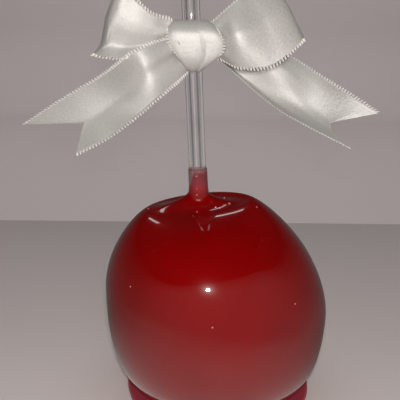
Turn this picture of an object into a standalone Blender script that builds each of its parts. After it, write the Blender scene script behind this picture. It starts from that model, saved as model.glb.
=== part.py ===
"""Candy-coated apple on a clear stick, with a satin ribbon tied round the stick.

Three sub-parts: the coated fruit with its pooled foot and the collar of candy that
climbs the stick (one solid), the plain round stick, and the ribbon bow (one solid,
because a tied bow is one ribbon).  The origin is the middle of the foot's underside,
+Z is up, and the bow's front faces -Y.
"""

import math

import bmesh
import bpy
from mathutils import Vector

MM = 0.001

# ---------------------------------------------------------------- driving sizes, mm
# Stick: a 6 x 150 mm rod, pushed in 3 degrees off upright
STICK_RADIUS = 3.0
STICK_LENGTH = 150.0
STICK_START_Z = 29.6
STICK_END_BEVEL = 0.4
STICK_SIDES = 28
STICK_LEAN = -0.0524          # sideways run for each mm of height
STICK_X_AT_CREST = -8.4       # where the rod leaves the fruit
CREST_LEVEL = 75.0
FIT_GAP = 0.3                 # clearance between touching pieces

# Fruit: widest ring, crest ring round the dimple, and the hidden seat in the foot.
# A tilt is the change towards +X, a front value the change towards -Y.
FRUIT_X = -1.5                # the body sits a little off the foot's middle
WIDEST_RADIUS = 41.4
WIDEST_Z = 37.6
WIDEST_TILT = -5.2
WIDEST_FRONT_RISE = 4.0
CREST_RADIUS_SIDE = 18.7
CREST_RADIUS_FRONT = 9.5
CREST_RADIUS_BACK = 12.5
CREST_Z = 74.2
CREST_TILT = 2.2
SEAT_RADIUS = 15.1
SEAT_Z = 2.6
SHOULDER_HOLD = 0.48          # how long the side stays upright above the widest ring
SHOULDER_HOLD_TILT = 0.10
SHOULDER_HOLD_FRONT = 0.15
CREST_HOLD = 0.31             # how far the crest runs outward before it falls
CREST_HOLD_TILT = -0.17
CREST_HOLD_FRONT = 0.31
BELLY_HOLD = 0.70
SEAT_HOLD = 0.84
LOBES = 5
LOBE_DEPTH = 0.3
LOBE_TURN = 0.6

# Dimple and collar
DIMPLE_LEVEL = 74.7           # how low the dimple's curve aims
DIMPLE_TILT = 0.35
DIMPLE_SAG = 1.3              # lower before and behind the stick than beside it
DIMPLE_SAG_FRONT = -0.9
DIMPLE_RUN = 6.8
DIMPLE_RUN_SHARE = 0.6        # of the crest's radius, where that is less
DIMPLE_PULL = 3.0             # how far the curve is drawn down the stick
COLLAR_ROOT_Z = 78.5
COLLAR_ROOT_RADIUS = 3.75
COLLAR_TOP_Z = 88.0
COLLAR_TOP_RADIUS = 3.55
COLLAR_LIP = 0.15

# Pooled foot
FOOT_RADIUS = 35.7
FOOT_THICKNESS = 2.5
FOOT_EDGE = 1.2
FOOT_UNDERCUT = 0.3
FOOT_TOP_RADIUS = 31.0
BELLY_SHARE = 0.71            # share of the belly's curve left showing above the neck
NECK_FILLET = 2.4
NECK_FILLET_FLAT = 3.84

AZIMUTHS = 52
BELLY_ROWS = 11
SHOULDER_ROWS = 13
DIMPLE_ROWS = 9
NECK_ROWS = 4
EDGE_ROWS = 3

# Ribbon: 25 mm satin, modelled as one closed band
RIBBON_WIDTH = 25.0
RIBBON_THICKNESS = 0.8
RIBBON_COLUMNS = 8
LOOP_STATIONS = 26
TAIL_STATIONS = 13
KNOT_CENTRE = (-10.4, -8.2, 130.9)
KNOT_HALF_DEPTH = 6.6
KNOT_HALF_HEIGHT = 7.7
KNOT_SQUARENESS = 2.6
KNOT_LEFT = -8.3              # selvedges of the wrap, from the knot's middle
KNOT_RIGHT = 8.8
KNOT_LEFT_GATHER = (4.9, 0.2)     # how far they draw in under the knot, and from which level
KNOT_RIGHT_GATHER = (8.5, -0.25)
KNOT_RIGHT_TURN = (4.2, 0.3)      # the right one also turns in over its top
KNOT_TUCK = 0.16
KNOT_ROWS = 11
KNOT_SIDES = 28
BAND_RADIUS = 4.7            # ribbon drawn round the back of the stick
BAND_HEIGHT = 12.5
ROOT_SHARE = 0.45            # how far a stretch runs on into the knot
TAIL_NOTCH = 11.5            # depth of the swallow-tail cut
ROUNDING = 6                 # power that keeps a notch or a tuck close to its edge
TANGENT_STEP = 0.01          # share of a run over which its direction is measured
FOLD_STEPS = 24
FOLD_SCALES = (0.3, 1.0)     # least and most that a row of folds is scaled
FOLD_TRIES = 12
SHARP_ANGLE = 45


def stick_x(z):
    """X of the stick's axis at a height, in mm."""
    return STICK_X_AT_CREST + STICK_LEAN * (z - CREST_LEVEL)


def stick_point(z):
    """Point on the stick's axis at a height, in mm."""
    return Vector((stick_x(z), 0.0, z))


def cubic(p0, p1, p2, p3, t):
    """Point on a cubic Bezier curve."""
    s = 1.0 - t
    return s * s * s * p0 + 3 * s * s * t * p1 + 3 * s * t * t * p2 + t * t * t * p3


def material(name, colour, roughness, transmission=0.0, ior=1.5):
    """Principled material with a base colour and a gloss."""
    made = bpy.data.materials.new(name)
    made.use_nodes = True
    shader = made.node_tree.nodes["Principled BSDF"]
    shader.inputs["Base Color"].default_value = (*colour, 1.0)
    shader.inputs["Roughness"].default_value = roughness
    shader.inputs["Metallic"].default_value = 0.0
    shader.inputs["Transmission Weight"].default_value = transmission
    shader.inputs["IOR"].default_value = ior
    return made


def new_object(name, mesh, finish):
    """Link a mesh as a named object with one material."""
    made = bpy.data.objects.new(name, mesh)
    bpy.context.scene.collection.objects.link(made)
    mesh.materials.append(finish)
    return made


def mesh_of_rings(name, rings):
    """Closed mesh of rings, each joined to the next, with a fan of faces at both ends."""
    work = bmesh.new()
    rows = [[work.verts.new(point * MM) for point in ring] for ring in rings]
    count = len(rows[0])
    for lower, upper in zip(rows, rows[1:]):
        for i in range(count):
            j = (i + 1) % count
            work.faces.new((lower[i], lower[j], upper[j], upper[i]))
    for ring in (rows[0], rows[-1]):
        hub = work.verts.new(sum((v.co for v in ring), Vector()) / count)
        for i in range(count):
            work.faces.new((hub, ring[i], ring[(i + 1) % count]))
    bmesh.ops.recalc_face_normals(work, faces=work.faces)
    if work.calc_volume(signed=True) < 0:
        bmesh.ops.reverse_faces(work, faces=work.faces)
    mesh = bpy.data.meshes.new(name)
    work.to_mesh(mesh)
    work.free()
    mesh.shade_smooth()
    mesh.set_sharp_from_angle(angle=math.radians(SHARP_ANGLE))
    return mesh


# ---------------------------------------------------------------- coated fruit
def belly_and_foot(widest, middle, out):
    """Outline from the foot's underside up to the widest point, on one side.

    Points hold the run outwards from the upright middle line, zero, and the height.
    """
    seat = Vector((middle + out * SEAT_RADIUS, 0, SEAT_Z))
    under = Vector((widest.x, 0, SEAT_Z))
    drop = Vector((0, 0, widest.z - SEAT_Z))
    belly = [
        cubic(widest, widest - drop * BELLY_HOLD, seat.lerp(under, SEAT_HOLD), seat, t)
        for t in (BELLY_SHARE * k / BELLY_ROWS for k in range(BELLY_ROWS + 1))
    ]
    # neck: a hollow fillet that turns from the belly out on to the foot's top
    falling = (belly[-1] - belly[-2]).normalized()
    foot_top = Vector((out * FOOT_TOP_RADIUS, 0, FOOT_THICKNESS))
    inward = Vector((-out, 0, 0))
    neck = [
        cubic(
            belly[-1],
            belly[-1] + falling * NECK_FILLET,
            foot_top + inward * NECK_FILLET_FLAT,
            foot_top,
            k / NECK_ROWS,
        )
        for k in range(1, NECK_ROWS + 1)
    ]
    # foot's rounded edge, down to the flat underside
    edge_middle = Vector((out * (FOOT_RADIUS - FOOT_EDGE), 0, FOOT_THICKNESS - FOOT_EDGE))
    edge = [
        edge_middle + FOOT_EDGE * Vector((out * math.sin(turn), 0, math.cos(turn)))
        for turn in (math.radians(90) * k / EDGE_ROWS for k in range(EDGE_ROWS + 1))
    ]
    rim = Vector((out * (FOOT_RADIUS - FOOT_UNDERCUT), 0, 0))
    return [rim, *reversed(edge), *reversed(neck), *reversed(belly)]


def shoulder_and_dimple(widest, crest, side, front, out):
    """Outline from the widest point over the crest and down to the collar's root."""
    rise = Vector((0, 0, crest.z - widest.z))
    forward = max(front, 0)
    hold_up = SHOULDER_HOLD + SHOULDER_HOLD_TILT * side + SHOULDER_HOLD_FRONT * forward
    hold_out = CREST_HOLD + CREST_HOLD_TILT * side + CREST_HOLD_FRONT * forward
    crest_radius = abs(crest.x - (stick_x(crest.z) if side else 0.0))
    dip = crest - Vector((out * min(DIMPLE_RUN, crest_radius * DIMPLE_RUN_SHARE), 0, 0))
    dip.z = DIMPLE_LEVEL + DIMPLE_TILT * side - DIMPLE_SAG * abs(front) - DIMPLE_SAG_FRONT * front
    over = crest - (dip - crest).normalized() * hold_out * abs(widest.x - crest.x)
    shoulder = [
        cubic(widest, widest + rise * hold_up, over, crest, k / SHOULDER_ROWS)
        for k in range(1, SHOULDER_ROWS + 1)
    ]
    root_middle = stick_x(COLLAR_ROOT_Z) if side else 0.0
    root = Vector((root_middle + out * COLLAR_ROOT_RADIUS, 0, COLLAR_ROOT_Z))
    drawn_down = root - Vector((0, 0, DIMPLE_PULL))
    dimple = [cubic(crest, dip, drawn_down, root, k / DIMPLE_ROWS) for k in range(1, DIMPLE_ROWS + 1)]
    return shoulder + dimple


def outline(side, front):
    """Outline of the body towards one side, 1 or -1, or towards the front, 1, or back, -1."""
    out = float(side or front)
    middle = FRUIT_X if side else 0.0
    widest_z = WIDEST_Z + WIDEST_TILT * side + WIDEST_FRONT_RISE * front
    widest = Vector((middle + out * WIDEST_RADIUS, 0, widest_z))
    crest_z = CREST_Z + CREST_TILT * side
    crest_radius = {1: CREST_RADIUS_FRONT, -1: CREST_RADIUS_BACK}.get(front, CREST_RADIUS_SIDE)
    crest = Vector(((stick_x(crest_z) if side else 0.0) + out * crest_radius, 0, crest_z))
    return belly_and_foot(widest, middle, out) + shoulder_and_dimple(widest, crest, side, front, out)


def oval(right, left, front, back):
    """Ring through four outline points: an oval, tilted both ways, with slight lobes."""
    across, deep = (right.x - left.x) / 2, (front.x - back.x) / 2
    height = (right.z + left.z + front.z + back.z) / 4
    middle = Vector(((right.x + left.x) / 2, -(front.x + back.x) / 2, height))
    ring = []
    for turn in (2 * math.pi * i / AZIMUTHS for i in range(AZIMUTHS)):
        lobe = 1 + LOBE_DEPTH / WIDEST_RADIUS * math.cos(LOBES * turn + LOBE_TURN)
        sideways, backward = math.cos(turn), math.sin(turn)
        rise = (right.z - left.z) / 2 * sideways + (back.z - front.z) / 2 * backward
        ring.append(middle + Vector((across * lobe * sideways, deep * lobe * backward, rise)))
    return ring


def stick_ring(z, radius):
    """Level ring round the stick at a height."""
    turns = (2 * math.pi * i / AZIMUTHS for i in range(AZIMUTHS))
    return [stick_point(z) + radius * Vector((math.cos(turn), math.sin(turn), 0)) for turn in turns]


def make_fruit(finish):
    """Coated fruit with foot, collar and the blind hole for the stick."""
    sides = (outline(1, 0), outline(-1, 0), outline(0, 1), outline(0, -1))
    rings = [oval(*points) for points in zip(*sides)]
    rings.append(stick_ring(COLLAR_TOP_Z, COLLAR_TOP_RADIUS))
    rings.append(stick_ring(COLLAR_TOP_Z + COLLAR_LIP, STICK_RADIUS + FIT_GAP))
    rings.append(stick_ring(STICK_START_Z - FIT_GAP, STICK_RADIUS + FIT_GAP))
    return new_object("candied_fruit", mesh_of_rings("candied_fruit", rings), finish)


# ---------------------------------------------------------------- stick
def make_stick(finish):
    """Round rod with softly bevelled ends."""
    axis = Vector((STICK_LEAN, 0, 1)).normalized()
    sideways = Vector((0, 1, 0)).cross(axis)
    foot = stick_point(STICK_START_Z)
    rings = []
    for along, radius in (
        (0.0, STICK_RADIUS - STICK_END_BEVEL),
        (STICK_END_BEVEL, STICK_RADIUS),
        (STICK_LENGTH - STICK_END_BEVEL, STICK_RADIUS),
        (STICK_LENGTH, STICK_RADIUS - STICK_END_BEVEL),
    ):
        turns = (2 * math.pi * i / STICK_SIDES for i in range(STICK_SIDES))
        rings.append(
            [
                foot + axis * along + radius * (math.cos(a) * sideways + math.sin(a) * Vector((0, 1, 0)))
                for a in turns
            ]
        )
    return new_object("clear_stick", mesh_of_rings("clear_stick", rings), finish)


# ---------------------------------------------------------------- ribbon
def smooth_run(points, share):
    """Point on a Catmull-Rom run through the points, at a share of its length."""
    spans = len(points) - 1
    place = min(share * spans, spans - 1e-9)
    k = int(place)
    t = place - k
    p1, p2 = points[k], points[k + 1]
    p0 = points[k - 1] if k > 0 else p1 * 2 - p2
    p3 = points[k + 2] if k + 2 <= spans else p2 * 2 - p1
    bend = p0 * 2 - p1 * 5 + p2 * 4 - p3
    twist = p1 * 3 - p0 - p2 * 3 + p3
    return 0.5 * (p1 * 2 + (p2 - p0) * t + bend * t * t + twist * t ** 3)


def fold_at(heights, v):
    """Height of the folds at a share of the way across."""
    return smooth_run([Vector((h, 0, 0)) for h in heights], v).x


def fitted_folds(folds, share, chord):
    """Fold heights at a share of the length, scaled until they take up the ribbon's width."""
    heights = [smooth_run([Vector((row[i], 0, 0)) for row in folds], share).x for i in range(len(folds[0]))]
    raised = [fold_at(heights, i / FOLD_STEPS) for i in range(FOLD_STEPS + 1)]
    low, high = FOLD_SCALES
    for _ in range(FOLD_TRIES):
        scale = (low + high) / 2
        length = sum(math.hypot(chord / FOLD_STEPS, (b - a) * scale) for a, b in zip(raised, raised[1:]))
        low, high = (scale, high) if length < RIBBON_WIDTH else (low, scale)
    return [h * scale for h in heights]


def strip(name, upper, lower, folds, stations, finish, notch=0.0):
    """Closed thin band between two edge runs, folded across its width.

    A notch draws the middle of the last station back for the swallow-tail cut.
    """
    uppers = [Vector(p) for p in upper]
    lowers = [Vector(p) for p in lower]
    rows = []
    for k in range(stations + 1):
        share = k / stations
        start = smooth_run(uppers, share)
        end = smooth_run(lowers, share)
        after, before = min(share + TANGENT_STEP, 1.0), max(share - TANGENT_STEP, 0.0)
        ahead = smooth_run(uppers, after) + smooth_run(lowers, after)
        behind = smooth_run(uppers, before) + smooth_run(lowers, before)
        along = (ahead - behind).normalized()
        normal = along.cross(end - start).normalized()
        heights = fitted_folds(folds, share, (end - start).length)
        row = []
        for i in range(RIBBON_COLUMNS + 1):
            v = i / RIBBON_COLUMNS
            back = notch * (1 - abs(2 * v - 1)) * share ** ROUNDING
            row.append((start.lerp(end, v) + normal * fold_at(heights, v) - along * back, normal))
        rows.append(row)
    half = RIBBON_THICKNESS / 2
    rings = []
    for row in rows:
        front = [point + normal * half for point, normal in row]
        rear = [point - normal * half for point, normal in reversed(row)]
        rings.append(front + rear)
    work = bmesh.new()
    grid = [[work.verts.new(point * MM) for point in ring] for ring in rings]
    count = len(grid[0])
    for one, two in zip(grid, grid[1:]):
        for i in range(count):
            j = (i + 1) % count
            work.faces.new((one[i], one[j], two[j], two[i]))
    for ring in (grid[0], grid[-1]):
        for i in range(RIBBON_COLUMNS):
            work.faces.new((ring[i], ring[i + 1], ring[count - 2 - i], ring[count - 1 - i]))
    bmesh.ops.recalc_face_normals(work, faces=work.faces)
    if work.calc_volume(signed=True) < 0:
        bmesh.ops.reverse_faces(work, faces=work.faces)
    bmesh.ops.triangulate(work, faces=work.faces)
    mesh = bpy.data.meshes.new(name)
    work.to_mesh(mesh)
    work.free()
    return new_object(name, mesh, finish)


def join_solid(target, others, operation):
    """Give the target an exact Boolean with each of the others, which are kept as guides."""
    for other in others:
        cut = target.modifiers.new(operation.title(), "BOOLEAN")
        cut.operation = operation
        cut.solver = "EXACT"
        cut.object = other
        other.hide_render = True
        other.display_type = "WIRE"


# Edge runs of each stretch of ribbon, mm: the upper selvedge and the lower one, from the
# knot outwards; a loop's runs come back to the knot behind the stick's front.  Each row
# of folds gives the cloth's height over the straight line between the two edges.
LEFT_LOOP = {
    "upper": [(-18.0, -11.5, 138.5), (-23.5, -13.5, 140.0), (-29.0, -14.5, 144.5), (-33.0, -14.0, 149.5),
              (-32.5, -4.0, 149.0), (-26.5, 5.0, 140.0), (-19.5, 1.0, 137.0)],
    "lower": [(-18.0, -11.5, 131.5), (-24.5, -14.0, 129.5), (-34.0, -15.5, 127.5), (-42.0, -13.5, 128.5),
              (-41.5, -2.5, 127.5), (-29.5, 5.0, 128.5), (-19.5, 1.0, 131.0)],
    "folds": [(0.0, 0.4, 0.4, -0.2, -0.9, -1.2, 0.0), (0.0, 0.1, 0.1, -0.6, -1.9, -2.9, 0.0),
              (0.0, 0.0, 0.0, -0.9, -2.9, -4.6, 0.0), (0.0, 0.1, 0.1, -0.4, -1.8, -2.8, 0.0),
              (0.0, 0.9, 1.3, 1.3, 1.1, 0.7, 0.0), (0.0, 2.2, 0.9, 0.4, 2.0, 1.3, 0.0),
              (0.0, 4.0, 0.0, -3.5, 0.0, 3.5, 0.0)],
}
RIGHT_LOOP = {
    "upper": [(-5.0, -9.0, 138.0), (-0.5, -8.5, 142.0), (4.5, -8.0, 146.4), (9.9, -6.0, 152.4),
              (10.0, 3.0, 151.5), (0.5, 6.5, 141.5), (-5.0, 1.0, 136.5)],
    "lower": [(-1.5, -10.5, 127.0), (4.0, -13.0, 125.0), (14.0, -14.4, 126.1), (23.3, -12.0, 133.6),
              (23.0, -1.0, 132.5), (10.5, 7.0, 127.5), (-2.5, 1.0, 128.0)],
    "folds": [(0.0, -1.3, -0.9, 0.9, 0.4, -1.3, 0.0), (0.0, -2.2, -4.2, -5.6, -4.4, -2.4, 0.0),
              (0.0, -1.6, -3.2, -4.4, -3.2, -1.8, 0.0), (0.0, -0.9, -1.8, -2.4, -1.8, -0.9, 0.0),
              (0.0, 0.9, 1.8, 2.2, 1.8, 0.9, 0.0), (0.0, 2.2, 1.3, 1.3, 2.2, 1.8, 0.0),
              (0.0, 4.0, 0.0, -3.5, 0.0, 3.5, 0.0)],
}
LEFT_TAIL = {
    "upper": [(-18.5, -11.5, 133.0), (-29.0, -16.5, 129.0), (-40.2, -10.5, 121.1), (-53.0, -11.0, 113.6),
              (-65.7, -13.0, 105.6)],
    "lower": [(-12.5, -9.5, 123.5), (-20.4, -18.0, 117.3), (-28.5, -21.0, 110.5), (-37.0, -25.5, 104.5),
              (-46.5, -26.5, 99.5)],
    "folds": [(0.0, 1.8, 1.1, -1.1, 1.1, 1.5, 0.0), (0.0, 0.3, 0.2, -1.4, -1.6, -1.0, 0.0),
              (0.0, -0.4, -0.9, -1.6, -1.0, -0.5, 0.0), (0.0, -0.7, -1.5, -2.4, -1.6, -0.8, 0.0),
              (0.0, -0.6, -1.2, -1.8, -1.2, -0.6, 0.0)],
}
RIGHT_TAIL = {
    "upper": [(-3.5, 3.0, 133.5), (9.5, 8.0, 131.5), (22.0, 7.0, 127.0), (33.0, 3.5, 120.5),
              (42.5, -2.0, 114.8), (51.6, -6.0, 109.5)],
    "lower": [(-2.0, 2.0, 126.0), (7.0, 1.0, 118.5), (17.0, -5.0, 111.0), (26.0, -11.0, 106.5),
              (34.0, -16.0, 103.0), (39.5, -18.5, 100.5)],
    "folds": [(0.0, 3.5, 0.9, -2.2, 1.3, 3.1, 0.0), (0.0, -1.3, -3.1, -3.1, 0.9, 3.1, 0.0),
              (0.0, -1.3, -2.2, -0.9, 2.6, 3.9, 0.0), (0.0, 0.4, 1.5, 3.3, 4.0, 2.6, 0.0),
              (0.0, 1.8, 3.6, 5.2, 4.6, 2.6, 0.0), (0.0, 1.8, 3.8, 5.6, 4.8, 2.6, 0.0)],
}


def rooted(run, both_ends):
    """The run with its ends carried on into the knot."""
    middle = Vector(KNOT_CENTRE)
    first = tuple(Vector(run[0]).lerp(middle, ROOT_SHARE))
    last = tuple(Vector(run[-1]).lerp(middle, ROOT_SHARE))
    return [first, *run] + ([last] if both_ends else [])


def make_stretch(name, shape, stations, finish, looped):
    """One stretch of the ribbon: a loop, or a tail with a swallow-tail end."""
    folds = [shape["folds"][0], *shape["folds"]] + ([shape["folds"][-1]] if looped else [])
    return strip(
        name,
        rooted(shape["upper"], looped),
        rooted(shape["lower"], looped),
        folds,
        stations,
        finish,
        notch=0.0 if looped else TAIL_NOTCH,
    )


def knot_edges(level):
    """X of the wrap's two selvedges at a level, from -1 under the knot to 1 over it."""
    left_pace, left_level = KNOT_LEFT_GATHER
    right_pace, right_level = KNOT_RIGHT_GATHER
    turn_pace, turn_level = KNOT_RIGHT_TURN
    left = KNOT_LEFT + left_pace * max(left_level - level, 0.0)
    right = KNOT_RIGHT - right_pace * max(right_level - level, 0.0) - turn_pace * max(level - turn_level, 0.0)
    return left, right


def make_knot(finish):
    """Turn of ribbon that wraps the knot: a barrel that lies sideways before the stick."""
    power = 2 / KNOT_SQUARENESS
    rings = []
    for k in range(KNOT_ROWS + 1):
        share = k / KNOT_ROWS
        tuck = 1.0 - KNOT_TUCK * abs(2 * share - 1) ** ROUNDING
        ring = []
        for turn in (2 * math.pi * i / KNOT_SIDES for i in range(KNOT_SIDES)):
            depth = math.copysign(abs(math.cos(turn)) ** power, math.cos(turn))
            level = math.copysign(abs(math.sin(turn)) ** power, math.sin(turn))
            left, right = knot_edges(level)
            across = left + (right - left) * share
            away = Vector((across, -KNOT_HALF_DEPTH * depth * tuck, KNOT_HALF_HEIGHT * level * tuck))
            ring.append(Vector(KNOT_CENTRE) + away)
        rings.append(ring)
    return new_object("ribbon_bow", mesh_of_rings("ribbon_bow", rings), finish)


def upright_rod(name, radius, low, high, finish):
    """Round solid along the stick's axis between two heights."""
    axis = Vector((STICK_LEAN, 0, 1)).normalized()
    sideways = Vector((0, 1, 0)).cross(axis)
    rings = [
        [
            stick_point(z) + radius * (math.cos(a) * sideways + math.sin(a) * Vector((0, 1, 0)))
            for a in (2 * math.pi * (i + 0.5) / STICK_SIDES for i in range(STICK_SIDES))
        ]
        for z in (low, high)
    ]
    return new_object(name, mesh_of_rings(name, rings), finish)


def make_bow(finish):
    """Knot, band round the stick, two loops and two tails, united and bored."""
    bow = make_knot(finish)
    middle = KNOT_CENTRE[2]
    parts = [
        upright_rod("band", BAND_RADIUS, middle - BAND_HEIGHT / 2, middle + BAND_HEIGHT / 2, finish),
        make_stretch("loop_left", LEFT_LOOP, LOOP_STATIONS, finish, True),
        make_stretch("loop_right", RIGHT_LOOP, LOOP_STATIONS, finish, True),
        make_stretch("tail_left", LEFT_TAIL, TAIL_STATIONS, finish, False),
        make_stretch("tail_right", RIGHT_TAIL, TAIL_STATIONS, finish, False),
    ]
    join_solid(bow, parts, "UNION")
    bore = upright_rod("bore", STICK_RADIUS + FIT_GAP, middle - BAND_HEIGHT, middle + BAND_HEIGHT, finish)
    join_solid(bow, [bore], "DIFFERENCE")
    return bow


def main():
    """Clear the file and build the three sub-parts."""
    for old in list(bpy.data.objects):
        bpy.data.objects.remove(old, do_unlink=True)
    make_fruit(material("red_hard_candy", (0.30, 0.004, 0.006), 0.06))
    make_stick(material("clear_acrylic", (0.92, 0.92, 0.93), 0.03, transmission=0.9, ior=1.49))
    make_bow(material("ivory_satin", (0.78, 0.76, 0.72), 0.38))


main()
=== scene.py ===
"""Looks of a candy-coated apple on a clear stick, with a satin ribbon tied round it.

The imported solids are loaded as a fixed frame.  Every piece made here stands for one of
them, at the same place and size, +Z up and the bow's front facing -Y.  The fields of
each class are in millimetres, and a mesh is turned to metres as it is made.
"""

import logging
import math
from collections.abc import Callable, Sequence
from dataclasses import dataclass, field
from enum import Enum

import bpy
import numpy as np
from mathutils import Matrix, Vector


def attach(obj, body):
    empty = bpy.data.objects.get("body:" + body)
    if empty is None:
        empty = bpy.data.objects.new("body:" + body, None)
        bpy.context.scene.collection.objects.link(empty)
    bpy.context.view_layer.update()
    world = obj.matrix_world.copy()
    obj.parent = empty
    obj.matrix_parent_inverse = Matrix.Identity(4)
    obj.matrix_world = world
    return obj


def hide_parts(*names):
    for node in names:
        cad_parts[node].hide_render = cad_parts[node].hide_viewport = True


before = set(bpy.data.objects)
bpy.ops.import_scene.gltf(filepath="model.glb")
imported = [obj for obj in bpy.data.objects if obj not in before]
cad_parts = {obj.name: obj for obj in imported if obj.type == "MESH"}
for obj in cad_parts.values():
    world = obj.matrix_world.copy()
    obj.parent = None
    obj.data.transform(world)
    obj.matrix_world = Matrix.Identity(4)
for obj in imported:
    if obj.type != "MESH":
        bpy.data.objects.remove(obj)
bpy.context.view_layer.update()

LOG = logging.getLogger("toffee_apple")
MM = 0.001
UP = Vector((0.0, 0.0, 1.0))
GLOW = "glow"
Socket = bpy.types.NodeSocket

# Numbers of the Mix node's sockets for colours: its names for them aren't unique.
MIX_SHARE, MIX_FIRST, MIX_SECOND, MIX_BLEND = 0, 6, 7, 2


# ================================================================ small helpers
def linear(hex_colour: str, alpha: float = 1.0) -> tuple[float, float, float, float]:
    """Turn an sRGB hex colour to linear light.

    Args:
        hex_colour: Six hex digits, such as "E9E4DA".
        alpha: Fourth number of the result.

    Returns:
        Red, green, blue and alpha, each from 0 to 1.
    """
    parts = [int(hex_colour[i : i + 2], 16) / 255 for i in (0, 2, 4)]
    light = [p / 12.92 if p <= 0.04045 else ((p + 0.055) / 1.055) ** 2.4 for p in parts]
    return (*light, alpha)


def add_node(
    tree: bpy.types.NodeTree, kind: str, settings: dict | None = None, links: dict | None = None
) -> bpy.types.Node:
    """Add a node with its settings and its incoming links.

    Args:
        tree: Node tree that gets the node.
        kind: Blender's name for the node's type.
        settings: Value of each input (by name or number) or of each property.
        links: Output socket that feeds each input.

    Returns:
        The new node.
    """
    node = tree.nodes.new(kind)
    for key, value in (settings or {}).items():
        if isinstance(key, int) or key in node.inputs:
            node.inputs[key].default_value = value
        else:
            setattr(node, key, value)
    for key, source in (links or {}).items():
        tree.links.new(source, node.inputs[key])
    return node


def blank_material(name: str) -> tuple[bpy.types.Material, bpy.types.NodeTree]:
    """Make a material with no nodes, and return it with its node tree."""
    made = bpy.data.materials.new(name)
    made.use_nodes = True
    made.node_tree.nodes.clear()
    return made, made.node_tree


def shaded(
    made: bpy.types.Material,
    settings: dict,
    links: dict | None = None,
    kind: str = "ShaderNodeBsdfPrincipled",
) -> bpy.types.Material:
    """Give a material its one shader.

    Args:
        made: Material that gets it.
        settings: Values of the shader's inputs.
        links: Output socket that feeds each further input.
        kind: Blender's name for the shader's type.

    Returns:
        The same material.
    """
    shader = add_node(made.node_tree, kind, settings, links)
    add_node(made.node_tree, "ShaderNodeOutputMaterial", links={"Surface": shader.outputs[0]})
    return made


def mixed(tree: bpy.types.NodeTree, share: Socket, first: str | Socket, second: str | Socket) -> Socket:
    """Blend two colours.

    Args:
        tree: Node tree that gets the node.
        share: Output that gives the second colour's share.
        first: Colour at share 0: six hex digits, or another node's output.
        second: Colour at share 1, likewise.

    Returns:
        The blend's output.
    """
    settings, links = {"data_type": "RGBA"}, {MIX_SHARE: share}
    for key, colour in ((MIX_FIRST, first), (MIX_SECOND, second)):
        if isinstance(colour, str):
            settings[key] = linear(colour)
        else:
            links[key] = colour
    return add_node(tree, "ShaderNodeMix", settings, links).outputs[MIX_BLEND]


def ranged(
    tree: bpy.types.NodeTree,
    length: Socket,
    start: float,
    stop: float,
    soft: bool = False,
    top: float = 1.0,
) -> Socket:
    """Turn a length to a share, 0 at its start and the most at its stop.

    Args:
        tree: Node tree that gets the node.
        length: Output that gives the length.
        start: Length in millimetres where the share is 0.
        stop: Length in millimetres from which the share is the most.
        soft: Whether the share eases in and out.
        top: The most.

    Returns:
        The share's output.
    """
    settings = {"From Min": start * MM, "From Max": stop * MM, "To Max": top}
    if soft:
        settings["interpolation_type"] = "SMOOTHSTEP"
    return add_node(tree, "ShaderNodeMapRange", settings, {"Value": length}).outputs[0]


def noise(
    tree: bpy.types.NodeTree, place: Socket, scale: float, detail: float, roughness: float = 0.5
) -> Socket:
    """Make a noise pattern.

    Args:
        tree: Node tree that gets the node.
        place: Output that gives the place in the pattern.
        scale: Count of its coarsest spots in one unit of the place.
        detail: Count of its finer layers.
        roughness: How much each finer layer counts against the one before.

    Returns:
        The pattern's output, from 0 to 1.
    """
    settings = {"Scale": scale, "Detail": detail, "Roughness": roughness}
    return add_node(tree, "ShaderNodeTexNoise", settings, {"Vector": place}).outputs["Fac"]


def product(tree: bpy.types.NodeTree, first: Socket, second: Socket) -> Socket:
    """Return the output that multiplies two others."""
    return add_node(tree, "ShaderNodeMath", {"operation": "MULTIPLY"}, {0: first, 1: second}).outputs[0]


def deselect_all() -> None:
    """Leave edit mode and let go of every object."""
    if bpy.context.object and bpy.context.object.mode != "OBJECT":
        bpy.ops.object.mode_set(mode="OBJECT")
    bpy.ops.object.select_all(action="DESELECT")


def pick(piece: bpy.types.Object) -> None:
    """Make one object the only selected and active one."""
    deselect_all()
    piece.select_set(True)
    bpy.context.view_layer.objects.active = piece


def into_scene(name: str, data: bpy.types.ID) -> bpy.types.Object:
    """Put new mesh, lamp or camera data into the scene as an object."""
    made = bpy.data.objects.new(name, data)
    bpy.context.scene.collection.objects.link(made)
    return made


def mesh_object(name: str, points: list, faces: list) -> bpy.types.Object:
    """Make a mesh from code.

    Args:
        name: Name of the new object and of its mesh.
        points: Places of its vertices, in millimetres.
        faces: Each face's vertices, by their numbers.

    Returns:
        The object, in the scene.
    """
    mesh = bpy.data.meshes.new(name)
    mesh.from_pydata([tuple(point * MM) for point in points], [], faces)
    return into_scene(name, mesh)


def smooth(piece: bpy.types.Object, angle: float) -> None:
    """Shade a piece smooth, but for edges sharper than an angle in degrees."""
    pick(piece)
    bpy.ops.object.shade_smooth_by_angle(angle=math.radians(angle))


def edit_where(parts: Sequence, wanted: Callable) -> None:
    """Enter edit mode on the active mesh with only some of its parts selected.

    Args:
        parts: The mesh's vertices or edges.
        wanted: Tells for one of them whether it is selected.
    """
    bpy.ops.object.mode_set(mode="EDIT")
    bpy.ops.mesh.select_all(action="DESELECT")
    bpy.ops.object.mode_set(mode="OBJECT")
    for part in parts:
        part.select = wanted(part)
    bpy.ops.object.mode_set(mode="EDIT")


def settle(piece: bpy.types.Object) -> None:
    """Put an object's place, turn and scale into its mesh."""
    pick(piece)
    bpy.ops.object.transform_apply(location=True, rotation=True, scale=True)


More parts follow.
